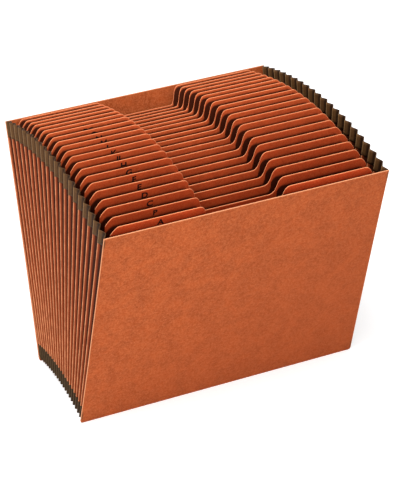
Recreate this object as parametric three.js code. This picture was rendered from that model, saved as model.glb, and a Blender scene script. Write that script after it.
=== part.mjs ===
import * as THREE from 'three';

// An open-top expanding file with 21 index leaves, standing fanned open on its two covers.
// Millimetres and degrees. +X runs along the covers, +Y goes from the front cover to the back
// cover, +Z is up. The origin lies on the floor, under the middle of the fan.

// Covers
const coverWidth = 305;
const coverHeight = 254;
const coverThickness = 0.9;
const coverCornerRadius = 3;
const frontLean = 14.1;
const backLean = 17.4;
const footSpread = 117;

// The file narrows a little where the gussets draw it in, on each side
const topDrawIn = 3.0;
const backDrawIn = 4.4;

// Leaves
const leafCount = 21;
const leafThickness = 0.4;
const tabRise = 4.2;
const backSettle = 4.4;
const settleStart = 0.35;
const dipDepth = 19;
const dipHalfWidth = 33;
const slopeWidth = 15;
const slopeEase = 0.7;
const tabHalfReach = 137.5;
const tabCornerRadius = 3.5;
const tabSlant = 5;
const tabSlantDrop = 9;
const tabShift = -2.5;
const shoulderDrop = 6;

// Gussets: one pleat on each side for each leaf
const pleatWidth = 7.1;
const gussetThickness = 0.3;
const bottomArch = 7.8;
const topArch = 21.1;
const coverFoot = 2.5;

// Reinforcing tape round the gusset ends
const tapeHeight = 16.5;
const tapeThickness = 0.2;

// Clearances
const sheetGap = 0.15;
const seatGap = 0.3;
const smooth = 6;

// Derived sizes
const radians = Math.PI / 180;
const halfFoot = footSpread / 2;
const frontTop = new THREE.Vector2(
  -halfFoot - coverHeight * Math.sin(frontLean * radians),
  coverHeight * Math.cos(frontLean * radians),
);
const backTop = new THREE.Vector2(
  halfFoot + coverHeight * Math.sin(backLean * radians),
  coverHeight * Math.cos(backLean * radians),
);
const pleatCount = leafCount;
const tapeInner = gussetThickness / 2 + sheetGap;
const tapeOuter = tapeInner + tapeThickness;
const frontFootY = -halfFoot - coverFoot * Math.tan(frontLean * radians);
const backFootY = halfFoot + coverFoot * Math.tan(backLean * radians);
const halfPitchBottom = (backFootY - frontFootY) / (2 * pleatCount);
const halfPitchTop = (backTop.x - frontTop.x) / (2 * pleatCount);
const pleatDepthBottom = Math.sqrt(pleatWidth ** 2 - halfPitchBottom ** 2);
const pleatDepthTop = Math.sqrt(pleatWidth ** 2 - halfPitchTop ** 2);
const tipReachBottom = (tapeOuter * pleatWidth) / halfPitchBottom;
const tipReachTop = (tapeOuter * pleatWidth) / halfPitchTop;
const foldReach = (gussetThickness / 2) * (pleatWidth / halfPitchBottom);
const leafEdgeGap = foldReach + seatGap;
const endInset = coverThickness / 2 / Math.cos(backLean * radians) + seatGap + tapeOuter;
const cornerGap = seatGap + gussetThickness / 2;

const coverColour = 0xc06a40;
const leafColour = 0xc8582c;
const gussetColour = 0xb4603e;
const tapeColour = 0x5c4630;

const finish = (colour, roughness) =>
  new THREE.MeshStandardMaterial({ color: colour, roughness: roughness, metalness: 0 });

// Half the file's width at a share of the way from front to back and from floor to top
const halfWidth = (back, up) => coverWidth / 2 - backDrawIn * back - topDrawIn * up;

const arch = (rise, back) => rise * 4 * back * (1 - back);

// Where a fold starts at the bottom and ends at the top, as (y, z), at a share from front to back
function foldFoot(back) {
  const y = THREE.MathUtils.lerp(frontFootY, backFootY, back);
  return new THREE.Vector2(y, coverFoot + arch(bottomArch, back));
}

function foldHead(back) {
  const chord = frontTop.clone().lerp(backTop, back);
  return new THREE.Vector2(chord.x, chord.y + arch(topArch, back));
}

// The end folds of a gusset stop short of the covers
function endShift(step) {
  if (step === 0) {
    return endInset;
  }
  return step === 2 * pleatCount ? -endInset : 0;
}

// The straight line of one gusset fold on one side, from its foot to its head.
// Even steps are outer folds, odd steps are inner folds.
function sideFold(side, step) {
  const back = step / (2 * pleatCount);
  const inner = step % 2 === 1;
  const foot = foldFoot(back);
  const head = foldHead(back);
  const along = head.clone().sub(foot).normalize();
  const footX = halfWidth(back, 0) - tipReachBottom - (inner ? pleatDepthBottom : 0);
  const headX = halfWidth(back, 1) - tipReachTop - (inner ? pleatDepthTop : 0);
  const lift = inner ? pleatDepthBottom : 0;
  const shift = endShift(step);
  return {
    foot: new THREE.Vector3(side * footX, foot.x + along.x * lift + shift, foot.y + along.y * lift),
    head: new THREE.Vector3(side * headX, head.x + shift, head.y),
    lift: lift,
  };
}

// The same fold where it turns the corner and crosses the bottom
function bottomFold(step) {
  const left = sideFold(-1, step);
  const right = sideFold(1, step);
  return { foot: left.foot, head: right.foot, lift: 0 };
}

// A point on a fold, at a distance from its head or from its foot.
// A level mark is measured from the foot of the outer folds.
function pointOn(fold, mark) {
  const along = fold.head.clone().sub(fold.foot).normalize();
  if (mark.fromHead) {
    return fold.head.clone().addScaledVector(along, -mark.at);
  }
  return fold.foot.clone().addScaledVector(along, mark.level ? mark.at - fold.lift : mark.at);
}

// The direction in which a folded sheet is offset at a fold, long enough to keep its thickness
function mitre(folds, index, mark) {
  const here = pointOn(folds[index], mark);
  const along = folds[index].head.clone().sub(folds[index].foot).normalize();
  const normals = [index - 1, index + 1]
    .filter((other) => other >= 0 && other < folds.length)
    .map((other) => {
      const run = pointOn(folds[other], mark).sub(here);
      return along.clone().cross(other > index ? run : run.negate()).normalize();
    });
  if (normals.length === 1) {
    return normals[0];
  }
  const spread = 1 + normals[0].dot(normals[1]);
  return normals[0].clone().add(normals[1]).divideScalar(spread);
}

// A closed body swept across a row of folds: its section is a loop of marks, each one a place
// along the fold and an offset from the folded surface. Both walls are split along the same
// diagonal, from low on one fold to high on the next, so they stay parallel where panels twist.
function foldedBody(folds, section) {
  const positions = [];
  folds.forEach((fold, index) => {
    section.forEach((mark) => {
      const point = pointOn(fold, mark).addScaledVector(mitre(folds, index, mark), mark.offset);
      positions.push(point.x, point.y, point.z);
    });
  });
  const indices = [];
  const count = section.length;
  for (let index = 0; index < folds.length - 1; index += 1) {
    for (let corner = 0; corner < count; corner += 1) {
      const next = (corner + 1) % count;
      const a = index * count + corner;
      const b = index * count + next;
      if (positions[3 * b + 2] > positions[3 * a + 2]) {
        indices.push(a, b, b + count, a, b + count, a + count);
      } else {
        indices.push(a, b, a + count, b, b + count, a + count);
      }
    }
  }
  const outline = section.map((mark) => new THREE.Vector2(mark.plot[0], mark.plot[1]));
  const last = (folds.length - 1) * count;
  THREE.ShapeUtils.triangulateShape(outline, []).forEach(([a, b, c]) => {
    indices.push(a, c, b);
    indices.push(last + a, last + b, last + c);
  });
  const geometry = new THREE.BufferGeometry();
  geometry.setAttribute('position', new THREE.Float32BufferAttribute(positions, 3));
  geometry.setIndex(indices);
  turnOutward(geometry);
  return geometry;
}

// Turns a closed body's faces outward when its volume comes out negative
function turnOutward(geometry) {
  const position = geometry.getAttribute('position');
  const index = geometry.getIndex();
  const a = new THREE.Vector3();
  const b = new THREE.Vector3();
  const c = new THREE.Vector3();
  let volume = 0;
  for (let i = 0; i < index.count; i += 3) {
    a.fromBufferAttribute(position, index.getX(i));
    b.fromBufferAttribute(position, index.getX(i + 1));
    c.fromBufferAttribute(position, index.getX(i + 2));
    volume += a.dot(b.cross(c));
  }
  if (volume < 0) {
    for (let i = 0; i < index.count; i += 3) {
      const second = index.getX(i + 1);
      index.setX(i + 1, index.getX(i + 2));
      index.setX(i + 2, second);
    }
  }
  geometry.computeVertexNormals();
}

function named(name, geometry, material) {
  const mesh = new THREE.Mesh(geometry, material);
  mesh.name = name;
  return mesh;
}

// Stands a flat outline, drawn in x and height, on a foot point and leans it back by an angle
function stand(mesh, y, z, lean) {
  mesh.position.set(0, y, z);
  mesh.rotation.x = Math.PI / 2 - lean;
}

// A stiff sheet with sharp top corners and rounded bottom corners.
// Its edges are trimmed level, so that it stands flat on the floor.
function cover(name, back, y, lean) {
  const foot = halfWidth(back, 0);
  const head = halfWidth(back, 1);
  const r = coverCornerRadius;
  const outline = new THREE.Shape();
  outline.moveTo(-head, coverHeight);
  outline.lineTo(-foot, r);
  outline.absarc(-foot + r, r, r, Math.PI, Math.PI * 1.5);
  outline.absarc(foot - r, r, r, Math.PI * 1.5, Math.PI * 2);
  outline.lineTo(head, coverHeight);
  const geometry = new THREE.ExtrudeGeometry(outline, {
    depth: coverThickness,
    bevelEnabled: false,
    curveSegments: smooth,
  });
  geometry.translate(0, 0, -coverThickness / 2);
  const trim = new THREE.Matrix4().set(1, 0, 0, 0, 0, 1, -Math.tan(lean), 0, 0, 0, 1, 0, 0, 0, 0, 1);
  geometry.applyMatrix4(trim);
  const mesh = named(name, geometry, finish(coverColour, 0.85));
  stand(mesh, y, 0, lean);
  return mesh;
}

// One index leaf, cut with a raised tab at each end and a wide dip between them. The leaves
// towards the back sit a little lower in their folds.
// Its sides are held in two facing inner folds, below the tape.
function leaf(number) {
  const step = 2 * number - 1;
  const back = step / (2 * pleatCount);
  const left = sideFold(-1, step);
  const foot = foldFoot(back);
  const head = foldHead(back);
  const run = head.clone().sub(foot);
  const lean = Math.atan2(run.x, run.y);
  const height = run.length();
  const scale = halfWidth(back, 1) / halfWidth(0, 1);
  const place = (x) => (x + tabShift) * scale;
  const footHalf = -left.foot.x - leafEdgeGap;
  const headHalf = -left.head.x - leafEdgeGap;
  const bottom = pleatDepthBottom + leafEdgeGap;
  const sideHalf = (at) => THREE.MathUtils.mapLinear(at, left.lift, height, footHalf, headHalf);
  const settle = backSettle * THREE.MathUtils.smoothstep(back, settleStart, 1);
  const top = height + tabRise - settle;
  const dip = top - dipDepth;
  const shoulderTop = height - tapeHeight;
  const shoulder = shoulderTop - shoulderDrop;
  const slopeHand = slopeWidth * slopeEase;
  const tabInner = dipHalfWidth + slopeWidth;
  const r = tabCornerRadius;
  const tabEnd = tabHalfReach - tabSlant;
  const tabSide = top - tabSlantDrop;

  const outline = new THREE.Shape();
  outline.moveTo(sideHalf(bottom), bottom);
  outline.lineTo(sideHalf(shoulder), shoulder);
  outline.bezierCurveTo(
    sideHalf(shoulder), shoulder + shoulderDrop / 2,
    place(tabHalfReach), shoulderTop - shoulderDrop / 2,
    place(tabHalfReach), shoulderTop,
  );
  outline.lineTo(place(tabHalfReach), tabSide);
  outline.quadraticCurveTo(place(tabEnd), top, place(tabEnd - r), top);
  outline.lineTo(place(tabInner), top);
  outline.bezierCurveTo(
    place(tabInner - slopeHand), top,
    place(dipHalfWidth + slopeHand), dip,
    place(dipHalfWidth), dip,
  );
  outline.lineTo(place(-dipHalfWidth), dip);
  outline.bezierCurveTo(
    place(-dipHalfWidth - slopeHand), dip,
    place(-tabInner + slopeHand), top,
    place(-tabInner), top,
  );
  outline.lineTo(place(-tabEnd + r), top);
  outline.quadraticCurveTo(place(-tabEnd), top, place(-tabHalfReach), tabSide);
  outline.lineTo(place(-tabHalfReach), shoulderTop);
  outline.bezierCurveTo(
    place(-tabHalfReach), shoulderTop - shoulderDrop / 2,
    -sideHalf(shoulder), shoulder + shoulderDrop / 2,
    -sideHalf(shoulder), shoulder,
  );
  outline.lineTo(-sideHalf(bottom), bottom);

  const geometry = new THREE.ExtrudeGeometry(outline, {
    depth: leafThickness,
    bevelEnabled: false,
    curveSegments: smooth,
  });
  geometry.translate(0, 0, -leafThickness / 2);
  const mesh = named(`leaf_${String(number).padStart(2, '0')}`, geometry, finish(leafColour, 0.8));
  stand(mesh, foot.x, foot.y, lean);
  return mesh;
}

const steps = Array.from({ length: 2 * pleatCount + 1 }, (unused, step) => step);

// A plain sheet's section: a row of marks on one face, and the same row back on the other
function sheetSection(marks, halfThickness) {
  const face = (offset, column) =>
    marks.map((mark, row) => ({ ...mark, offset: offset, plot: [column, row] }));
  return [...face(halfThickness, 1), ...face(-halfThickness, 0).reverse()];
}

// The pleated side, from its mitred corner at the bottom to just under the tape's top edge
function sideGusset(name, side) {
  const folds = steps.map((step) => sideFold(side, step));
  const marks = [
    { at: cornerGap },
    { level: true, at: tapeHeight },
    { fromHead: true, at: tapeHeight },
    { fromHead: true, at: tapeThickness + seatGap },
  ];
  const section = sheetSection(marks, gussetThickness / 2);
  return named(name, foldedBody(folds, section), finish(gussetColour, 0.85));
}

// The pleated bottom, mitred into both sides
function bottomGusset(name) {
  const folds = steps.map(bottomFold);
  const marks = [{ at: cornerGap }, { fromHead: true, at: cornerGap }];
  const section = sheetSection(marks, gussetThickness / 2);
  return named(name, foldedBody(folds, section), finish(gussetColour, 0.85));
}

// Tape folded over the gusset's top edge, with a skin on the outside and one on the inside
function topTape(name, side) {
  const folds = steps.map((step) => sideFold(side, step));
  const section = [
    { fromHead: true, at: tapeHeight, offset: -tapeOuter, plot: [0, 0] },
    { fromHead: true, at: tapeHeight, offset: -tapeInner, plot: [1, 0] },
    { fromHead: true, at: tapeThickness, offset: -tapeInner, plot: [1, 2] },
    { fromHead: true, at: tapeThickness, offset: tapeInner, plot: [3, 2] },
    { fromHead: true, at: tapeHeight, offset: tapeInner, plot: [3, 0] },
    { fromHead: true, at: tapeHeight, offset: tapeOuter, plot: [4, 0] },
    { fromHead: true, at: 0, offset: tapeOuter, plot: [4, 3] },
    { fromHead: true, at: 0, offset: -tapeOuter, plot: [0, 3] },
  ];
  return named(name, foldedBody(folds, section), finish(tapeColour, 0.7));
}

// Tape round the outside of the gusset's bottom end, with a level upper edge
function bottomTape(name, side) {
  const folds = steps.map((step) => sideFold(side, step));
  const low = -side * tapeInner;
  const high = -side * tapeOuter;
  const section = [
    { at: cornerGap, offset: low, plot: [0, 0] },
    { at: cornerGap, offset: high, plot: [1, 0] },
    { level: true, at: tapeHeight, offset: high, plot: [1, 1] },
    { level: true, at: tapeHeight, offset: low, plot: [0, 1] },
  ];
  return named(name, foldedBody(folds, section), finish(tapeColour, 0.7));
}

const group = new THREE.Group();
group.position.y = -(frontTop.x + backTop.x) / 2;
group.add(cover('front_cover', 0, -halfFoot, -frontLean * radians));
group.add(cover('back_cover', 1, halfFoot, backLean * radians));
for (let number = 1; number <= leafCount; number += 1) {
  group.add(leaf(number));
}
group.add(sideGusset('left_gusset', -1));
group.add(sideGusset('right_gusset', 1));
group.add(bottomGusset('bottom_gusset'));
group.add(topTape('left_top_tape', -1));
group.add(topTape('right_top_tape', 1));
group.add(bottomTape('left_bottom_tape', -1));
group.add(bottomTape('right_bottom_tape', 1));

export default group;
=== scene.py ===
import math
import random

import bmesh
import bpy
from mathutils import Matrix, Vector


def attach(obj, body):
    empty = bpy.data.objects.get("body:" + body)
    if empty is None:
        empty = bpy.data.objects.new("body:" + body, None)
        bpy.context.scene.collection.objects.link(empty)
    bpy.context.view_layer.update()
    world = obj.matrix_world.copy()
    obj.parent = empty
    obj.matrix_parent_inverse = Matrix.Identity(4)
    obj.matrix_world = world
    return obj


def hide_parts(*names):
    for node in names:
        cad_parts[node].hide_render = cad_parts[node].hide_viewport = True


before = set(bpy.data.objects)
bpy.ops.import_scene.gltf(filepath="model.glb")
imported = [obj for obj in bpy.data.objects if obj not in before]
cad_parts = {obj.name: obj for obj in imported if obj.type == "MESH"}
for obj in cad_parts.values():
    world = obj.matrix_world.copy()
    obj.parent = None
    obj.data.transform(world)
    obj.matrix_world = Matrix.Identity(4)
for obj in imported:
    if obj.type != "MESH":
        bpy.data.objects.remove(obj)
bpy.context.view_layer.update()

mm = 0.001
root = "root"

# The fan's own sizes, in mm and degrees, as the CAD has them
fan = {
    "coverWidth": 305,
    "coverHeight": 254,
    "coverThickness": 0.9,
    "frontLean": 14.1,
    "backLean": 17.4,
    "footSpread": 117,
    "topDrawIn": 3.0,
    "backDrawIn": 4.4,
    "pleats": 21,
    "pleatWidth": 7.1,
    "gussetThickness": 0.3,
    "bottomArch": 7.8,
    "topArch": 21.1,
    "coverFoot": 2.5,
    "tapeHeight": 16.5,
    "tapeOuter": 0.5,
    "seatGap": 0.3,
}

halfFoot = fan["footSpread"] / 2
frontLean = math.radians(fan["frontLean"])
backLean = math.radians(fan["backLean"])
frontTopY = -halfFoot - fan["coverHeight"] * math.sin(frontLean)
backTopY = halfFoot + fan["coverHeight"] * math.sin(backLean)
frontTopZ = fan["coverHeight"] * math.cos(frontLean)
backTopZ = fan["coverHeight"] * math.cos(backLean)
frontFootY = -halfFoot - fan["coverFoot"] * math.tan(frontLean)
backFootY = halfFoot + fan["coverFoot"] * math.tan(backLean)
middleY = (frontTopY + backTopY) / 2  # the fan's middle, which the CAD puts over the origin
halfPitchFoot = (backFootY - frontFootY) / (2 * fan["pleats"])
halfPitchHead = (backTopY - frontTopY) / (2 * fan["pleats"])
depthFoot = math.sqrt(fan["pleatWidth"] ** 2 - halfPitchFoot ** 2)
depthHead = math.sqrt(fan["pleatWidth"] ** 2 - halfPitchHead ** 2)
reachFoot = fan["tapeOuter"] * fan["pleatWidth"] / halfPitchFoot
reachHead = fan["tapeOuter"] * fan["pleatWidth"] / halfPitchHead
endInset = fan["coverThickness"] / 2 / math.cos(backLean) + fan["seatGap"] + fan["tapeOuter"]


def mix(low, high, share):
    return low + (high - low) * share


def smoothStep(low, high, value):
    t = min(max((value - low) / (high - low), 0), 1)
    return t * t * (3 - 2 * t)


def halfWidth(back, up):
    return fan["coverWidth"] / 2 - fan["backDrawIn"] * back - fan["topDrawIn"] * up


def arch(rise, back):
    return rise * 4 * back * (1 - back)


def linear(red, green, blue):
    # An 8-bit display colour as the linear values that a shader socket takes
    def channel(value):
        value /= 255
        return value / 12.92 if value <= 0.04045 else ((value + 0.055) / 1.055) ** 2.4
    return (channel(red), channel(green), channel(blue), 1)


# Node building: a wire is an output socket that can be added to, multiplied and so on
class wire:
    def __init__(self, tree, socket):
        self.tree = tree
        self.socket = socket

    def math(self, operation, *others):
        node = self.tree.nodes.new("ShaderNodeMath")
        node.operation = operation
        feed(self.tree, (self,) + others, node.inputs)
        return wire(self.tree, node.outputs[0])

    def vector(self, operation, other=None, scale=None):
        node = self.tree.nodes.new("ShaderNodeVectorMath")
        node.operation = operation
        feed(self.tree, (self,) if other is None else (self, other), node.inputs)
        if scale is not None:
            feed(self.tree, (scale,), [node.inputs["Scale"]])
        name = "Value" if operation == "DISTANCE" else "Vector"
        return wire(self.tree, node.outputs[name])

    def __add__(self, other):
        return self.math("ADD", other)

    def __sub__(self, other):
        return self.math("SUBTRACT", other)

    def __mul__(self, other):
        return self.math("MULTIPLY", other)

    def __truediv__(self, other):
        return self.math("DIVIDE", other)

    def inverse(self):
        return self * -1 + 1


def feed(tree, values, sockets):
    for value, socket in zip(values, sockets):
        if isinstance(value, wire):
            tree.links.new(value.socket, socket)
        else:
            socket.default_value = value


def between(low, high, share):
    # low and high are numbers, share is a wire
    return share * (high - low) + low


def combine(tree, x, y, z):
    node = tree.nodes.new("ShaderNodeCombineXYZ")
    feed(tree, (x, y, z), node.inputs)
    return wire(tree, node.outputs[0])


# Pleated paper and tape: one tree lays a grid over the folds of a side or of the bottom
pleatInputs = {
    "Side": 1.0,  # -1 is the left side, 1 the right
    "Bottom": 0.0,  # 1 lays the sheet across the bottom instead
    "Pleats": 21.0,
    "Low end": 0.0,  # 0 measures the low mark from the foot, 1 from the head
    "Low mark": 0.3,
    "High end": 1.0,
    "High mark": -0.5,
    "Level": 0.0,  # 1 takes the inner folds' lift off the high mark
    "Low level": 0.0,  # 1 takes it off the low mark
    "Softness": 0.1,  # how round the folds are
    "Wander": 0.0,  # how far the folds stray between their ends
    "Seed": 1.0,
    "Offset": 0.0,
}
strayLook = {
    "foldStep": 0.9,  # how fast the stray changes from fold to fold
    "riseStep": 2.2,  # and from foot to head
    "seedStep": 7.3,
    "sideways": -0.8,
}


def buildPleatTree():
    tree = bpy.data.node_groups.new("pleatedSheet", "GeometryNodeTree")
    tree.interface.new_socket(name="Geometry", in_out="OUTPUT", socket_type="NodeSocketGeometry")
    for name, value in pleatInputs.items():
        socket = tree.interface.new_socket(
            name=name, in_out="INPUT", socket_type="NodeSocketFloat"
        )
        socket.default_value = value
    for name in ("Across", "Rows"):
        tree.interface.new_socket(name=name, in_out="INPUT", socket_type="NodeSocketInt")
    tree.interface.new_socket(name="Material", in_out="INPUT", socket_type="NodeSocketMaterial")
    source = tree.nodes.new("NodeGroupInput")
    given = {name: wire(tree, source.outputs[name]) for name in pleatInputs}

    grid = tree.nodes.new("GeometryNodeMeshGrid")
    grid.inputs["Size X"].default_value = 1
    grid.inputs["Size Y"].default_value = 1
    tree.links.new(source.outputs["Across"], grid.inputs["Vertices X"])
    tree.links.new(source.outputs["Rows"], grid.inputs["Vertices Y"])
    place = tree.nodes.new("GeometryNodeInputPosition")
    parts = tree.nodes.new("ShaderNodeSeparateXYZ")
    tree.links.new(place.outputs[0], parts.inputs[0])
    back = wire(tree, parts.outputs["X"]) + 0.5
    row = wire(tree, parts.outputs["Y"]) + 0.5

    # How far in a point lies between an outer fold, 0, and an inner fold, 1
    zigzag = (back * given["Pleats"] * 2).math("PINGPONG", 1.0)
    softSquare = given["Softness"] * given["Softness"]
    nearOuter = (zigzag * zigzag + softSquare).math("SQRT") - given["Softness"]
    rest = zigzag * -1 + 1
    nearInner = (rest * rest + softSquare).math("SQRT") - given["Softness"]
    fold = nearOuter / (nearOuter + nearInner)

    hump = back * (back * -1 + 1) * 4
    footY = between(frontFootY, backFootY, back)
    footY = footY.math("MAXIMUM", frontFootY + endInset).math("MINIMUM", backFootY - endInset)
    headY = between(frontTopY, backTopY, back)
    headY = headY.math("MAXIMUM", frontTopY + endInset).math("MINIMUM", backTopY - endInset)
    footZ = hump * fan["bottomArch"] + fan["coverFoot"]
    headZ = between(frontTopZ, backTopZ, back) + hump * fan["topArch"]
    footX = back * -fan["backDrawIn"] + (halfWidth(0, 0) - reachFoot) - fold * depthFoot
    headX = back * -fan["backDrawIn"] + (halfWidth(0, 1) - reachHead) - fold * depthHead
    footPoint = combine(tree, footX, footY, footZ)
    head = combine(tree, headX, headY, headZ)
    flatHead = combine(tree, footX, headY, headZ)
    along = flatHead.vector("SUBTRACT", footPoint).vector("NORMALIZE")
    foot = footPoint.vector("ADD", along.vector("SCALE", scale=fold * depthFoot))
    length = foot.vector("DISTANCE", head)

    lowMark = given["Low mark"] - given["Low level"] * fold * depthFoot
    low = given["Low end"] + lowMark / length
    highMark = given["High mark"] - given["Level"] * fold * depthFoot
    high = given["High end"] + highMark / length
    rise = low + row * (high - low)
    onSide = foot.vector("ADD", head.vector("SUBTRACT", foot).vector("SCALE", scale=rise))
    footParts = tree.nodes.new("ShaderNodeSeparateXYZ")
    tree.links.new(foot.socket, footParts.inputs[0])
    onBottom = combine(
        tree,
        wire(tree, footParts.outputs["X"]) * (row * 2 - 1),
        wire(tree, footParts.outputs["Y"]),
        wire(tree, footParts.outputs["Z"]),
    )

    # The folds stray a little between their ends, where nothing holds them
    noise = tree.nodes.new("ShaderNodeTexNoise")
    noise.noise_dimensions = "3D"
    noise.inputs["Scale"].default_value = 1
    noise.inputs["Detail"].default_value = 1
    seedPoint = combine(
        tree,
        back * given["Pleats"] * strayLook["foldStep"],
        rise * strayLook["riseStep"],
        given["Seed"] * strayLook["seedStep"],
    )
    tree.links.new(seedPoint.socket, noise.inputs["Vector"])
    stray = wire(tree, noise.outputs[0]) - 0.5
    free = (rise * math.pi).math("SINE").math("MAXIMUM", 0.0)
    stray = stray * free * given["Wander"]
    onSide = onSide.vector("ADD", combine(tree, stray * strayLook["sideways"], stray, 0.0))

    mixer = tree.nodes.new("ShaderNodeMix")
    mixer.data_type = "VECTOR"
    ends = [socket for socket in mixer.inputs if socket.identifier in ("A_Vector", "B_Vector")]
    feed(tree, (onSide, onBottom), ends)
    tree.links.new(given["Bottom"].socket, mixer.inputs[0])
    chosen = wire(tree, [socket for socket in mixer.outputs if socket.type == "VECTOR"][0])
    scaleBy = combine(tree, given["Side"] * mm, mm, mm)
    placed = chosen.vector("MULTIPLY", scaleBy)
    placed = placed.vector("ADD", combine(tree, 0.0, -middleY * mm, 0.0))

    setPlace = tree.nodes.new("GeometryNodeSetPosition")
    tree.links.new(placed.socket, setPlace.inputs["Position"])
    keepFold = tree.nodes.new("GeometryNodeStoreNamedAttribute")
    keepFold.data_type = "FLOAT"
    keepFold.domain = "POINT"
    keepFold.inputs["Name"].default_value = "fold"
    tree.links.new(fold.socket, keepFold.inputs["Value"])
    tree.links.new(grid.outputs["Mesh"], keepFold.inputs["Geometry"])
    tree.links.new(keepFold.outputs["Geometry"], setPlace.inputs["Geometry"])

    normal = tree.nodes.new("GeometryNodeInputNormal")
    push = wire(tree, normal.outputs[0]).vector("SCALE", scale=given["Offset"] * given["Side"] * mm)
    lift = tree.nodes.new("GeometryNodeSetPosition")
    tree.links.new(setPlace.outputs[0], lift.inputs["Geometry"])
    tree.links.new(push.socket, lift.inputs["Offset"])
    smooth = tree.nodes.new("GeometryNodeSetShadeSmooth")
    tree.links.new(lift.outputs[0], smooth.inputs["Geometry"])
    realize = tree.nodes.new("GeometryNodeRealizeInstances")
    tree.links.new(smooth.outputs[0], realize.inputs["Geometry"])
    cover = tree.nodes.new("GeometryNodeSetMaterial")
    tree.links.new(realize.outputs[0], cover.inputs["Geometry"])
    tree.links.new(source.outputs["Material"], cover.inputs["Material"])
    sink = tree.nodes.new("NodeGroupOutput")
    tree.links.new(cover.outputs[0], sink.inputs["Geometry"])
    return tree


def newPiece(name, mesh):
    piece = bpy.data.objects.new(name, mesh)
    bpy.context.scene.collection.objects.link(piece)
    return piece


def bake(piece):
    # Turns a piece with modifiers into one with a plain mesh
    bpy.context.view_layer.update()
    graph = bpy.context.evaluated_depsgraph_get()
    mesh = bpy.data.meshes.new_from_object(piece.evaluated_get(graph), depsgraph=graph)
    piece.modifiers.clear()
    old = piece.data
    piece.data = mesh
    bpy.data.meshes.remove(old)


def faceOutward(piece):
    shape = bmesh.new()
    shape.from_mesh(piece.data)
    bmesh.ops.recalc_face_normals(shape, faces=shape.faces)
    shape.to_mesh(piece.data)
    shape.free()


def finishPiece(piece, slotName, *nodes):
    faceOutward(piece)
    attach(piece, root)
    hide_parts(*nodes)


def measureFromNearFold(piece, outward):
    # On a sheet's inside the inner folds are the proud ones, so there the measure is turned round
    folds = piece.data.attributes["fold"].data
    points = piece.data.vertices
    half = len(points) // 2
    for i in range(half):
        inside = i if (points[i].co - points[i + half].co).dot(outward) < 0 else i + half
        folds[inside].value = 1 - folds[inside].value


def pleatedPiece(name, tree, material, thickness, values, across, rows):
    piece = newPiece(name, bpy.data.meshes.new(name))
    modifier = piece.modifiers.new("pleats", "NODES")
    modifier.node_group = tree
    items = [item for item in tree.interface.items_tree if item.in_out == "INPUT"]
    sockets = {item.name: item.identifier for item in items}
    for label, value in values.items():
        modifier[sockets[label]] = value
    modifier[sockets["Across"]] = across
    modifier[sockets["Rows"]] = rows
    modifier[sockets["Material"]] = material
    wall = piece.modifiers.new("thickness", "SOLIDIFY")
    wall.thickness = thickness * mm
    wall.offset = 0
    wall.use_even_offset = True
    bake(piece)
    outward = Vector((0, 0, -1)) if values.get("Bottom") else Vector((values["Side"], 0, 0))
    measureFromNearFold(piece, outward)
    return piece


# Materials
def shaderGroup(name, inputs, outputs):
    tree = bpy.data.node_groups.new(name, "ShaderNodeTree")
    for label, kind, value in inputs:
        socket = tree.interface.new_socket(
            name=label, in_out="INPUT", socket_type="NodeSocket" + kind
        )
        if value is not None:
            socket.default_value = value
    for label, kind in outputs:
        tree.interface.new_socket(name=label, in_out="OUTPUT", socket_type="NodeSocket" + kind)
    source = tree.nodes.new("NodeGroupInput")
    sink = tree.nodes.new("NodeGroupOutput")
    return tree, source, sink


def noiseMask(tree, vector, scale, detail, low, high):
    # Noise stretched so that low reads 0 and high reads 1
    noise = tree.nodes.new("ShaderNodeTexNoise")
    tree.links.new(vector, noise.inputs["Vector"])
    feed(tree, (scale,), [noise.inputs["Scale"]])
    noise.inputs["Detail"].default_value = detail
    ramp = tree.nodes.new("ShaderNodeMapRange")
    tree.links.new(noise.outputs[0], ramp.inputs["Value"])
    ramp.inputs["From Min"].default_value = low
    ramp.inputs["From Max"].default_value = high
    return wire(tree, ramp.outputs[0])


fibreLook = {
    "bigRange": (0.4, 0.6),  # narrower ranges give harder spots
    "bigShare": 0.55,
    "smallScale": 3.0,
    "smallRange": (0.36, 0.64),
    "grainRange": (0.33, 0.67),
    "grainShare": 0.6,
    "fibreScale": 0.45,
    "fibreRange": (0.36, 0.64),
}


def buildFibreGroup():
    # Pressed fibre card: soft clouds, short fibres and fine grain
    tree, source, sink = shaderGroup(
        "pressedFibre",
        [
            ("Vector", "Vector", None),
            ("Cloud scale", "Float", 60.0),
            ("Grain scale", "Float", 900.0),
        ],
        [("Clouds", "Float"), ("Grain", "Float"), ("Height", "Float")],
    )
    cloudScale = wire(tree, source.outputs["Cloud scale"])
    grainScale = wire(tree, source.outputs["Grain scale"])
    vector = source.outputs["Vector"]
    look = fibreLook
    big = noiseMask(tree, vector, cloudScale, 3, *look["bigRange"])
    small = noiseMask(tree, vector, cloudScale * look["smallScale"], 5, *look["smallRange"])
    clouds = big * look["bigShare"] + small * (1 - look["bigShare"])
    grain = noiseMask(tree, vector, grainScale, 3, *look["grainRange"])
    fibre = noiseMask(tree, vector, grainScale * look["fibreScale"], 2, *look["fibreRange"])
    mixed = grain * look["grainShare"] + fibre * (1 - look["grainShare"])
    tree.links.new(clouds.socket, sink.inputs["Clouds"])
    tree.links.new(mixed.socket, sink.inputs["Grain"])
    tree.links.new((grain * 0.5 + fibre * 0.5).socket, sink.inputs["Height"])
    return tree


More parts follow.
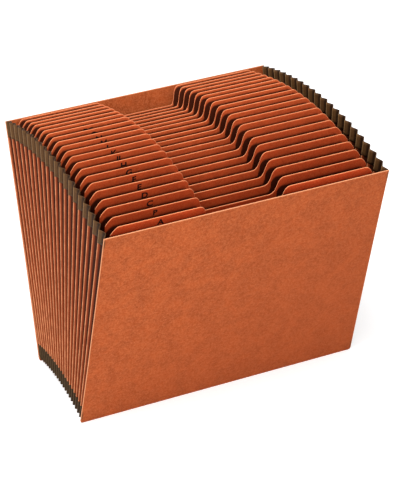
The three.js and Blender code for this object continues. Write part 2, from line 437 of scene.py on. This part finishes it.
def buildEdgeGroup():
    # A band that fades with distance from an edge or fold
    tree, source, sink = shaderGroup(
        "fadingBand",
        [("Distance", "Float", 0.0), ("Start", "Float", 0.0), ("End", "Float", 1.0)],
        [("Mask", "Float")],
    )
    ramp = tree.nodes.new("ShaderNodeMapRange")
    ramp.interpolation_type = "SMOOTHSTEP"
    tree.links.new(source.outputs["Distance"], ramp.inputs["Value"])
    tree.links.new(source.outputs["Start"], ramp.inputs["From Min"])
    tree.links.new(source.outputs["End"], ramp.inputs["From Max"])
    ramp.inputs["To Min"].default_value = 1
    ramp.inputs["To Max"].default_value = 0
    tree.links.new(ramp.outputs[0], sink.inputs["Mask"])
    return tree


class paint:
    # A material being built: colours are laid over each other, and the last one is the base colour
    def __init__(self, name, base, look):
        self.look = look
        self.material = bpy.data.materials.new(name)
        self.material.use_nodes = True
        self.tree = self.material.node_tree
        self.shader = self.tree.nodes["Principled BSDF"]
        self.shader.inputs["Roughness"].default_value = look["roughness"]
        self.shader.inputs["Specular IOR Level"].default_value = cardSpecular
        colour = self.tree.nodes.new("ShaderNodeRGB")
        colour.outputs[0].default_value = linear(*base)
        self.colour = colour.outputs[0]
        self.objectPlace = self.tree.nodes.new("ShaderNodeTexCoord").outputs["Object"]

    def group(self, tree, **values):
        node = self.tree.nodes.new("ShaderNodeGroup")
        node.node_tree = tree
        for label, value in values.items():
            socket = node.inputs[label.replace("_", " ")]
            if isinstance(value, wire):
                self.tree.links.new(value.socket, socket)
            elif hasattr(value, "is_output"):
                self.tree.links.new(value, socket)
            else:
                socket.default_value = value
        return node

    def attribute(self, name):
        node = self.tree.nodes.new("ShaderNodeAttribute")
        node.attribute_name = name
        return wire(self.tree, node.outputs["Fac"])

    def place(self):
        parts = self.tree.nodes.new("ShaderNodeSeparateXYZ")
        self.tree.links.new(self.objectPlace, parts.inputs[0])
        return [wire(self.tree, parts.outputs[axis]) for axis in "XYZ"]

    def lay(self, colour, mask, share):
        node = self.tree.nodes.new("ShaderNodeMix")
        node.data_type = "RGBA"
        colours = [socket for socket in node.inputs if socket.type == "RGBA"]
        self.tree.links.new((mask * share).socket, node.inputs[0])
        self.tree.links.new(self.colour, colours[0])
        colours[1].default_value = linear(*colour)
        self.colour = [socket for socket in node.outputs if socket.type == "RGBA"][0]

    def speckle(self, fibre):
        # Lays the dark clouds and the light grain, and bumps the surface with the fibres
        look = self.look
        spots = self.group(
            fibre,
            Vector=self.objectPlace,
            Cloud_scale=look["cloudScale"],
            Grain_scale=look["grainScale"],
        )
        clouds = wire(self.tree, spots.outputs["Clouds"])
        self.lay(look["dark"], clouds.inverse(), look["darkShare"])
        self.lay(look["light"], wire(self.tree, spots.outputs["Grain"]), look["lightShare"])
        bump = self.tree.nodes.new("ShaderNodeBump")
        bump.inputs["Strength"].default_value = look["bump"]
        bump.inputs["Distance"].default_value = look["bumpHeight"]
        self.tree.links.new(spots.outputs["Height"], bump.inputs["Height"])
        self.tree.links.new(bump.outputs[0], self.shader.inputs["Normal"])
        return clouds

    def near(self, band, distance, start, end):
        # 1 up to start, falling to 0 at end
        node = self.group(band, Distance=distance, Start=start, End=end)
        return wire(self.tree, node.outputs["Mask"])

    def finish(self):
        self.tree.links.new(self.colour, self.shader.inputs["Base Color"])
        return self.material


cardSpecular = 0.12

coverLook = {
    "base": (172, 75, 29),
    "dark": (112, 42, 10),
    "darkShare": 0.6,
    "light": (216, 121, 71),
    "lightShare": 0.6,
    "roughness": 0.75,
    "cloudScale": 62.0,
    "grainScale": 900.0,
    "bump": 0.5,
    "bumpHeight": 0.00025,
    "lowerRightShade": (150, 66, 28),  # painted shade: the face darkens towards the lower right
    "lowerRightShadeFrom": -0.36,
    "lowerRightShadeTo": 0.16,
    "lowerRightShadeShare": 0.5,
    "smudge": (92, 60, 34),
    "smudgeShare": 0.8,
    # painted highlight along the cut edges
    "rimHighlight": (232, 160, 116),
    "rimStart": 0.3,
    "rimEnd": 0.85,
    "rimShare": 0.85,
}


def coverMaterial(fibre, band):
    look = coverLook
    coat = paint("coverCard", look["base"], look)
    coat.speckle(fibre)
    x, _, z = coat.place()
    # Painted shade: the face darkens towards the lower right
    clearOfLowerRightShade = coat.near(band, x - z, look["lowerRightShadeFrom"], look["lowerRightShadeTo"])
    coat.lay(look["lowerRightShade"], clearOfLowerRightShade.inverse(), look["lowerRightShadeShare"])
    coat.lay(look["smudge"], coat.attribute("smudge"), look["smudgeShare"])
    # Painted highlight along the cover's cut edges
    rimHighlight = coat.near(band, coat.attribute("edge"), look["rimStart"], look["rimEnd"])
    coat.lay(look["rimHighlight"], rimHighlight, look["rimShare"])
    return coat.finish()


leafLook = {
    # painted light and shade: front leaves darker, back leaves lighter, as the light falls
    "front": (190, 55, 16),
    "back": (228, 106, 56),
    "dark": (142, 44, 12),
    "darkShare": 0.38,
    "light": (236, 130, 74),
    "lightShare": 0.28,
    "roughness": 0.7,
    "cloudScale": 90.0,
    "grainScale": 1300.0,
    "bump": 0.2,
    "bumpHeight": 0.00015,
    # painted shade in the pocket below the next sheet's edge
    "pocketShade": (22, 4, 1),
    "deepStart": 0.33,  # depth below the next sheet's edge, for each mm of gap between them
    "deepEnd": 0.58,
    "deepShare": 0.92,
    # painted highlight on the top edge
    "rimHighlight": (242, 152, 104),
    "rimStart": 0.3,
    "rimEnd": 0.6,
    "rimShare": 0.95,
}


def leafMaterial(fibre, band):
    look = leafLook
    coat = paint("leafCard", look["front"], look)
    # Painted light and shade: the leaves turn lighter from the front of the fan to the back
    backLightShare = coat.tree.nodes.new("ShaderNodeMapRange")
    coat.tree.links.new(coat.place()[1].socket, backLightShare.inputs["Value"])
    backLightShare.inputs["From Min"].default_value = frontTopY * mm
    backLightShare.inputs["From Max"].default_value = backTopY * mm
    coat.lay(look["back"], wire(coat.tree, backLightShare.outputs[0]), 1.0)
    coat.speckle(fibre)
    # Painted shade deep in the pocket between neighbouring leaves
    clear = coat.near(band, coat.attribute("under"), look["deepStart"], look["deepEnd"])
    coat.lay(look["pocketShade"], clear.inverse(), look["deepShare"])
    # Painted highlight on the leaf's top edge, lit from above
    rimHighlight = coat.near(band, coat.attribute("depth"), look["rimStart"], look["rimEnd"])
    coat.lay(look["rimHighlight"], rimHighlight, look["rimShare"])
    return coat.finish()


gussetLook = {
    "base": (144, 59, 25),
    "dark": (98, 35, 12),
    "darkShare": 0.4,
    "light": (178, 88, 46),
    "lightShare": 0.3,
    "roughness": 0.7,
    "cloudScale": 110.0,
    "grainScale": 1300.0,
    "bump": 0.25,
    "bumpHeight": 0.00015,
    # painted shade in the fold valleys and painted highlight on the crests
    "valleyShade": (26, 6, 2),
    "valleyStart": 0.12,
    "valleyEnd": 0.52,
    "valleyShare": 0.9,
    "crestHighlight": (236, 160, 112),
    "crestStart": 0.015,
    "crestEnd": 0.13,
    "crestShare": 0.9,
    "crestLeast": 0.5,  # a crest's strength where the clouds are darkest
    "crestVaries": 0.6,
}
topTapeLook = {
    "base": (88, 58, 31),
    "dark": (54, 32, 15),
    "darkShare": 0.45,
    "light": (116, 84, 50),
    "lightShare": 0.25,
    "roughness": 0.6,
    "cloudScale": 160.0,
    "grainScale": 1500.0,
    "bump": 0.3,
    "bumpHeight": 0.0002,
    # painted shade in the fold valleys and painted highlight on the crests
    "valleyShade": (24, 9, 4),
    "valleyStart": 0.35,
    "valleyEnd": 0.8,
    "valleyShare": 0.85,
    "crestHighlight": (150, 116, 78),
    "crestStart": 0.02,
    "crestEnd": 0.14,
    "crestShare": 0.55,
    "crestLeast": 1.0,
    "crestVaries": 0.0,
}
lowTapeLook = dict(
    topTapeLook,
    base=(46, 32, 18),
    dark=(26, 15, 8),
    light=(74, 56, 34),
    # painted highlight on the folds
    crestHighlight=(104, 80, 50),
    crestShare=0.45,
)


def pleatMaterial(name, fibre, band, look):
    coat = paint(name, look["base"], look)
    clouds = coat.speckle(fibre)
    # Painted shade in the valleys of the folds and painted highlight on their crests
    fold = coat.attribute("fold")
    proud = coat.near(band, fold, look["valleyStart"], look["valleyEnd"])
    coat.lay(look["valleyShade"], proud.inverse(), look["valleyShare"])
    crestHighlight = coat.near(band, fold, look["crestStart"], look["crestEnd"])
    crestHighlight = crestHighlight * (clouds * look["crestVaries"] + look["crestLeast"])
    coat.lay(look["crestHighlight"], crestHighlight, look["crestShare"])
    return coat.finish()


inkLook = {
    "base": (24, 14, 12),
    "dark": (24, 14, 12),
    "darkShare": 0.0,
    "light": (64, 34, 24),
    "lightShare": 0.3,
    "roughness": 0.6,
    "cloudScale": 400.0,
    "grainScale": 3000.0,
    "bump": 0.1,
    "bumpHeight": 0.00005,
}


def inkMaterial(fibre):
    coat = paint("indexInk", inkLook["base"], inkLook)
    coat.speckle(fibre)
    return coat.finish()


# Sheets: a cover or a leaf is a grid of points in its own plane, bent a little and given its wall
def storeValues(mesh, name, values):
    attribute = mesh.attributes.new(name, "FLOAT", "POINT")
    attribute.data.foreach_set("value", values)


sheetEdge = {"bevelShare": 0.22, "bevelAngle": 50}


def sheetPiece(name, columns, material, thickness, values):
    # columns: rows of world points in metres, values: attribute name to the same rows of numbers
    points = [point for column in columns for point in column]
    count = len(columns[0])
    faces = []
    for i in range(len(columns) - 1):
        for j in range(count - 1):
            a = i * count + j
            faces.append((a, a + count, a + count + 1, a + 1))
    mesh = bpy.data.meshes.new(name)
    mesh.from_pydata(points, [], faces)
    mesh.materials.append(material)
    for label, rows in values.items():
        storeValues(mesh, label, [value for row in rows for value in row])
    mesh.shade_smooth()
    piece = newPiece(name, mesh)
    wall = piece.modifiers.new("thickness", "SOLIDIFY")
    wall.thickness = thickness * mm
    wall.offset = 0
    soft = piece.modifiers.new("softEdge", "BEVEL")
    soft.width = thickness * sheetEdge["bevelShare"] * mm
    soft.segments = 1
    soft.limit_method = "ANGLE"
    soft.angle_limit = math.radians(sheetEdge["bevelAngle"])
    bake(piece)
    return piece


coverShape = {
    "columns": 60,
    "rows": 50,
    "cornerRadius": 3.0,
    "spreadEase": 0.8,
    "sideBow": 0.45,  # how far the sides curve in between their ends
    "faceBow": 0.6,  # how far the card bellies
    "bottomHighlightLift": 0.8,  # the painted edge highlight is fainter along the bottom edge
    "smudgeWidth": 2.6,
    "topSmudge": (0.5, 3, 10, 15),  # from the top edge: where it starts, is full, fades and ends
    "footSmudge": (3, 6, 12, 17),  # the same from the foot
}


def spread(count, ease):
    # Shares from 0 to 1, closer together at both ends
    shares = []
    for i in range(count + 1):
        t = i / count
        shares.append(mix(t, (1 - math.cos(math.pi * t)) / 2, ease))
    return shares


def stretch(marks, value):
    # 1 between the inner two of four marks, fading to 0 at the outer two
    return smoothStep(marks[0], marks[1], value) * (1 - smoothStep(marks[2], marks[3], value))


def coverPiece(name, back, material):
    look = coverShape
    lean = frontLean if back == 0 else backLean
    outward = -1 if back == 0 else 1
    radius = look["cornerRadius"]
    height = fan["coverHeight"]
    columns, edges, smudges = [], [], []
    for across in spread(look["columns"], look["spreadEase"]):
        column, edgeRow, smudgeRow = [], [], []
        side = 2 * across - 1
        bottomHalf = halfWidth(back, 0)
        fromSide = (1 - abs(side)) * bottomHalf
        corner = 0
        if fromSide < radius:
            corner = radius - math.sqrt(max(radius ** 2 - (radius - fromSide) ** 2, 0))
        for up in spread(look["rows"], look["spreadEase"]):
            level = mix(corner, height, up)
            share = level / height
            hump = 4 * share * (1 - share)
            half = halfWidth(back, share) - look["sideBow"] * hump
            x = side * half
            belly = outward * look["faceBow"] * hump * (1 - side * side)
            y = outward * (halfFoot + level * math.sin(lean)) + belly - middleY
            z = level * math.cos(lean)
            column.append((x * mm, y * mm, z * mm))
            gapSide = half - abs(x)
            edgeRow.append(min(gapSide, height - level, level + look["bottomHighlightLift"]))
            nearEdge = 1 - smoothStep(look["smudgeWidth"] * 0.4, look["smudgeWidth"], gapSide)
            top = stretch(look["topSmudge"], height - level)
            foot = stretch(look["footSmudge"], level)
            smudgeRow.append(nearEdge * max(top, foot))
        columns.append(column)
        edges.append(edgeRow)
        smudges.append(smudgeRow)
    values = {"edge": edges, "smudge": smudges}
    return sheetPiece(name, columns, material, fan["coverThickness"], values)


leafShape = {
    "thickness": 0.5,
    "tabRise": 4.2,
    "backSettle": 4.4,  # how much lower the last leaf sits
    "settleStart": 0.35,
    "dipDepth": 19.0,
    "dipHalfWidth": 33.0,
    "slopeWidth": 15.0,
    "slopeEase": 0.7,
    "tabHalfReach": 137.5,
    "tabSlant": 5.0,
    "tabSlantDrop": 9.0,
    "cornerRadius": 3.5,
    "tabShift": -2.5,
    "shoulderDrop": 6.0,
    "footGap": 1.2,  # from the bottom gusset's inner fold to the leaf's lower edge
    "rows": 12,
    "cornerSteps": 8,
    "slopeSteps": 14,
    "flatSteps": 10,
    "tilt": 0.35,  # how far a leaf's top may stand off its place
    "bow": 0.5,
    "seed": 11,
}


def bezier(a, b, c, d, t):
    s = 1 - t
    return s ** 3 * a + 3 * s * s * t * b + 3 * s * t * t * c + t ** 3 * d


def leafProfile(look):
    # The top edge as (x, drop below the tab tops), from the middle of the dip to the right end
    inner = look["dipHalfWidth"]
    tabInner = inner + look["slopeWidth"]
    hand = look["slopeWidth"] * look["slopeEase"]
    corner = look["tabHalfReach"] - look["tabSlant"]
    flatEnd = corner - look["cornerRadius"]
    points = []
    for i in range(look["flatSteps"]):
        points.append((inner * i / look["flatSteps"], look["dipDepth"]))
    for i in range(look["slopeSteps"] + 1):
        t = i / look["slopeSteps"]
        x = bezier(inner, inner + hand, tabInner - hand, tabInner, t)
        drop = bezier(look["dipDepth"], look["dipDepth"], 0, 0, t)
        points.append((x, drop))
    for i in range(1, look["flatSteps"] * 2):
        points.append((mix(tabInner, flatEnd, i / (look["flatSteps"] * 2)), 0))
    for i in range(look["cornerSteps"] + 1):
        t = i / look["cornerSteps"]
        x = mix(mix(flatEnd, corner, t), mix(corner, look["tabHalfReach"], t), t)
        points.append((x, look["tabSlantDrop"] * t * t))
    mirrored = [(-x, drop) for x, drop in reversed(points[1:])]
    return mirrored + points


def leafPlane(number):
    back = (2 * number - 1) / (2 * fan["pleats"])
    footZ = fan["coverFoot"] + arch(fan["bottomArch"], back)
    foot = Vector((0, mix(frontFootY, backFootY, back), footZ))
    headZ = mix(frontTopZ, backTopZ, back) + arch(fan["topArch"], back)
    head = Vector((0, mix(frontTopY, backTopY, back), headZ))
    foot.y -= middleY
    head.y -= middleY
    return back, foot, head


def leafTop(back, height):
    look = leafShape
    return height + look["tabRise"] - look["backSettle"] * smoothStep(look["settleStart"], 1, back)


def rimPoint(number, drop):
    # A point on the top edge of a leaf, or of a cover for the numbers before and after the leaves
    if number == 0:
        return Vector((0, frontTopY - middleY, frontTopZ))
    if number > fan["pleats"]:
        return Vector((0, backTopY - middleY, backTopZ))
    back, foot, head = leafPlane(number)
    run = head - foot
    return foot + run.normalized() * (leafTop(back, run.length) - drop)


def leafPiece(number, profile, chance, material):
    look = leafShape
    back, foot, head = leafPlane(number)
    along = (head - foot).normalized()
    facing = Vector((1, 0, 0)).cross(along)
    height = (head - foot).length
    scale = halfWidth(back, 1) / halfWidth(0, 1)
    top = leafTop(back, height)
    bottom = depthFoot + look["footGap"]
    edgeGap = fan["gussetThickness"] / 2 * fan["pleatWidth"] / halfPitchFoot + fan["seatGap"]
    footHalf = halfWidth(back, 0) - reachFoot - depthFoot - edgeGap
    headHalf = halfWidth(back, 1) - reachHead - depthHead - edgeGap
    shoulderTop = height - fan["tapeHeight"]
    tilt = chance.uniform(-1, 1) * look["tilt"]
    bow = chance.uniform(-1, 1) * look["bow"]
    twist = chance.uniform(-1, 1) * look["tilt"]
    columns, depths, unders, behinds = [], [], [], []
    for x, drop in profile:
        column, depthRow, underRow, behindRow = [], [], [], []
        frontRim = rimPoint(number - 1, drop)
        backRim = rimPoint(number + 1, drop)
        reach = x / look["tabHalfReach"]
        topHere = top - drop
        for j in range(look["rows"] + 1):
            share = j / look["rows"]
            share = 1 - (1 - share) ** 2
            level = mix(bottom, topHere, share)
            sideHalf = mix(footHalf, headHalf, (level - bottom) / (height - bottom))
            tabHalf = look["tabHalfReach"] * scale
            blend = smoothStep(shoulderTop - look["shoulderDrop"], shoulderTop, level)
            centre = look["tabShift"] * scale * blend
            across = centre + reach * mix(sideHalf, tabHalf, blend)
            lift = (tilt + twist * reach) * smoothStep(0, 1, level / height)
            lift += bow * math.cos(reach * math.pi / 2) * (level / height)
            point = Vector((across, 0, 0)) + foot + along * level + facing * lift
            column.append(tuple(point * mm))
            depthRow.append(topHere - level)
            underRow.append((frontRim.z - point.z) / max(point.y - frontRim.y, 2))
            behindRow.append((backRim.z - point.z) / max(backRim.y - point.y, 2))
        columns.append(column)
        depths.append(depthRow)
        unders.append(underRow)
        behinds.append(behindRow)
    name = f"indexLeaf{number:02d}"
    values = {"depth": depths, "under": unders, "behind": behinds}
    piece = sheetPiece(name, columns, material, look["thickness"], values)
    # Each side of the leaf is shaded by the sheet it faces
    faceOutward(piece)
    under = piece.data.attributes["under"].data
    behind = piece.data.attributes["behind"].data
    for i, normal in enumerate(piece.data.vertex_normals):
        if normal.vector.dot(facing) < -0.2:
            under[i].value = behind[i].value
    return piece, tilt, bow, twist


letterLook = {
    "size": 9.2,
    "x": -87.0,
    "drop": 6.8,  # from the tab's top to the letter's middle
    "proud": 0.06,
    "bold": 0.035,
}
indexLetters = "A B C D E F G H IJ K L M N O PQ R S T UV W XYZ".split()


def letterShape(letter, look):
    curve = bpy.data.curves.new("letter", "FONT")
    curve.body = letter
    curve.size = look["size"] * mm
    curve.offset = look["bold"] * look["size"] * mm
    curve.align_x = "CENTER"
    curve.align_y = "CENTER"
    curve.fill_mode = "FRONT"
    holder = bpy.data.objects.new("letter", curve)
    bpy.context.scene.collection.objects.link(holder)
    bpy.context.view_layer.update()
    graph = bpy.context.evaluated_depsgraph_get()
    mesh = bpy.data.meshes.new_from_object(holder.evaluated_get(graph))
    bpy.data.objects.remove(holder)
    return mesh


def lettersPiece(tilts, material):
    look = letterLook
    gathered = bmesh.new()
    for number, letter in enumerate(indexLetters, 1):
        back, foot, head = leafPlane(number)
        along = (head - foot).normalized()
        facing = Vector((1, 0, 0)).cross(along)
        scale = halfWidth(back, 1) / halfWidth(0, 1)
        level = leafTop(back, (head - foot).length) - look["drop"]
        tilt, bow, twist = tilts[number - 1]
        reach = look["x"] / leafShape["tabHalfReach"]
        lift = tilt + twist * reach + bow * math.cos(reach * math.pi / 2)
        out = lift + leafShape["thickness"] / 2 + look["proud"]
        x = (look["x"] + leafShape["tabShift"]) * scale
        point = (Vector((x, 0, 0)) + foot + along * level + facing * out) * mm
        turn = Matrix((Vector((1, 0, 0)), along, facing)).transposed().to_4x4()
        mesh = letterShape(letter, look)
        mesh.transform(Matrix.Translation(point) @ turn)
        gathered.from_mesh(mesh)
        bpy.data.meshes.remove(mesh)
    mesh = bpy.data.meshes.new("indexLetters")
    gathered.to_mesh(mesh)
    gathered.free()
    mesh.materials.append(material)
    piece = newPiece("indexLetters", mesh)
    return piece


fibre = buildFibreGroup()
band = buildEdgeGroup()
cardFinish = coverMaterial(fibre, band)
leafFinish = leafMaterial(fibre, band)
paperFinish = pleatMaterial("gussetPaper", fibre, band, gussetLook)
topTapeFinish = pleatMaterial("topTape", fibre, band, topTapeLook)
lowTapeFinish = pleatMaterial("lowTape", fibre, band, lowTapeLook)
inkFinish = inkMaterial(fibre)
print("materials are ready")

finishPiece(coverPiece("frontCover", 0, cardFinish), "cover_card", "front_cover")
finishPiece(coverPiece("backCover", 1, cardFinish), "cover_card", "back_cover")
print("covers are in place")

chance = random.Random(leafShape["seed"])
profile = leafProfile(leafShape)
tilts = []
for number in range(1, fan["pleats"] + 1):
    leaf, tilt, bow, twist = leafPiece(number, profile, chance, leafFinish)
    tilts.append((tilt, bow, twist))
    finishPiece(leaf, "leaf_card", f"leaf_{number:02d}")
print("leaves are in place")

letters = lettersPiece(tilts, inkFinish)
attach(letters, root)
print("index letters are in place")

pleatDetail = {"perPanel": 6, "sideRows": 36, "tapeRows": 7, "bottomRows": 9}
sideGussetShape = {"Wander": 1.6, "Softness": 0.1, "Low mark": 0.45, "High mark": -0.6}
topTapeShape = {
    "Softness": 0.06,
    "Low end": 1.0,
    "Low mark": -fan["tapeHeight"],
    "High end": 1.0,
    "High mark": -0.05,
}
topTapeWall = 2 * fan["tapeOuter"] - 0.1
lowTapeShape = {
    "Softness": 0.1,
    "Low mark": 0.45,
    "Low level": 1.0,
    "High end": 0.0,
    "High mark": fan["tapeHeight"],
    "Level": 1.0,
    "Offset": 0.38,
}
lowTapeWall = 0.2
sideSeeds = {"left": 3.0, "right": 8.0}

pleatTree = buildPleatTree()
across = 2 * fan["pleats"] * pleatDetail["perPanel"] + 1
for side, word in ((-1.0, "left"), (1.0, "right")):
    gusset = pleatedPiece(
        word + "Gusset", pleatTree, paperFinish, fan["gussetThickness"],
        {"Side": side, "Seed": sideSeeds[word], **sideGussetShape},
        across, pleatDetail["sideRows"],
    )
    finishPiece(gusset, "gusset_paper", word + "_gusset")
    topTape = pleatedPiece(
        word + "TopTape", pleatTree, topTapeFinish, topTapeWall,
        {"Side": side, **topTapeShape},
        across, pleatDetail["tapeRows"],
    )
    finishPiece(topTape, "binding_tape", word + "_top_tape")
    lowTape = pleatedPiece(
        word + "BottomTape", pleatTree, lowTapeFinish, lowTapeWall,
        {"Side": side, **lowTapeShape},
        across, pleatDetail["tapeRows"],
    )
    finishPiece(lowTape, "binding_tape", word + "_bottom_tape")
bottom = pleatedPiece(
    "bottomGusset", pleatTree, paperFinish, fan["gussetThickness"],
    {"Bottom": 1.0, "Softness": 0.1},
    across, pleatDetail["bottomRows"],
)
finishPiece(bottom, "gusset_paper", "bottom_gusset")
print("gussets and tapes are in place")

# The set: a plain white floor, soft light from above, and the camera
stageLook = {"floor": 6.0, "floorColour": (236, 236, 236), "floorGlow": 0.42, "sky": 0.62}
lamps = (
    # name, place, size, power
    ("topLamp", (-0.9, -0.25, 2.2), 1.6, 39.0),
    ("frontLamp", (-1.2, -2.2, 1.4), 2.0, 25.5),
    ("sideLamp", (1.6, -1.0, 1.6), 1.6, 8.0),
)


def buildFloor():
    shape = bmesh.new()
    bmesh.ops.create_grid(shape, x_segments=1, y_segments=1, size=stageLook["floor"])
    mesh = bpy.data.meshes.new("floor")
    shape.to_mesh(mesh)
    shape.free()
    material = bpy.data.materials.new("floorPaper")
    material.use_nodes = True
    tree = material.node_tree
    shader = tree.nodes["Principled BSDF"]
    shader.inputs["Base Color"].default_value = linear(*stageLook["floorColour"])
    shader.inputs["Roughness"].default_value = 0.9
    shader.inputs["Specular IOR Level"].default_value = 0.0
    shader.inputs["Emission Color"].default_value = (1, 1, 1, 1)
    rays = tree.nodes.new("ShaderNodeLightPath")
    seen = wire(tree, rays.outputs["Is Camera Ray"]) + wire(tree, rays.outputs["Is Glossy Ray"])
    glow = seen.math("MINIMUM", 1.0) * stageLook["floorGlow"]
    tree.links.new(glow.socket, shader.inputs["Emission Strength"])
    mesh.materials.append(material)
    floor = newPiece("floor", mesh)


def buildSky():
    world = bpy.data.worlds.new("softSky")
    bpy.context.scene.world = world
    world.use_nodes = True
    tree = world.node_tree
    sky = tree.nodes["Background"]
    sky.inputs["Color"].default_value = (1, 1, 1, 1)
    rays = tree.nodes.new("ShaderNodeLightPath")
    seen = wire(tree, rays.outputs["Is Camera Ray"]) + wire(tree, rays.outputs["Is Glossy Ray"])
    seen = (seen + wire(tree, rays.outputs["Is Transmission Ray"])).math("MINIMUM", 1.0)
    strength = seen * (1 - stageLook["sky"]) + stageLook["sky"]
    tree.links.new(strength.socket, sky.inputs["Strength"])


lampTarget = (0, 0, 0.14)


def buildLamps():
    target = Vector(lampTarget)
    for name, place, size, power in lamps:
        data = bpy.data.lights.new(name, "AREA")
        data.shape = "DISK"
        data.size = size
        data.energy = power
        lamp = bpy.data.objects.new(name, data)
        lamp.location = place
        lamp.rotation_euler = (target - Vector(place)).to_track_quat("-Z", "Y").to_euler()
        bpy.context.scene.collection.objects.link(lamp)


# The camera stands where the photograph's perspective puts it
cameraLook = {
    "yaw": 25.93,
    "pitch": 31.54,
    "roll": 0.32,
    "place": (-0.8254, -1.7115, 1.2987),
    "focalPixels": 2219,
    "middlePixel": (197, 243),
    "frame": (400, 489),
    "sensor": 24.0,
}


def buildCamera():
    look = cameraLook
    yaw, pitch, roll = (math.radians(look[name]) for name in ("yaw", "pitch", "roll"))
    ahead = math.cos(pitch)
    forward = Vector((math.sin(yaw) * ahead, math.cos(yaw) * ahead, -math.sin(pitch)))
    level = Vector((math.cos(yaw), -math.sin(yaw), 0))
    upright = level.cross(forward)
    right = math.cos(roll) * level + math.sin(roll) * upright
    up = -math.sin(roll) * level + math.cos(roll) * upright
    data = bpy.data.cameras.new("camera")
    data.sensor_fit = "VERTICAL"
    data.sensor_height = look["sensor"]
    width, height = look["frame"]
    data.lens = look["focalPixels"] / height * look["sensor"]
    data.shift_x = (width / 2 - look["middlePixel"][0]) / height
    data.shift_y = (look["middlePixel"][1] - height / 2) / height
    camera = bpy.data.objects.new("camera", data)
    turn = Matrix((right, up, -forward)).transposed().to_4x4()
    camera.matrix_world = Matrix.Translation(look["place"]) @ turn
    bpy.context.scene.collection.objects.link(camera)
    bpy.context.scene.camera = camera


buildFloor()
buildSky()
buildLamps()
buildCamera()
bpy.context.scene.view_settings.view_transform = "Standard"
print("set is ready")
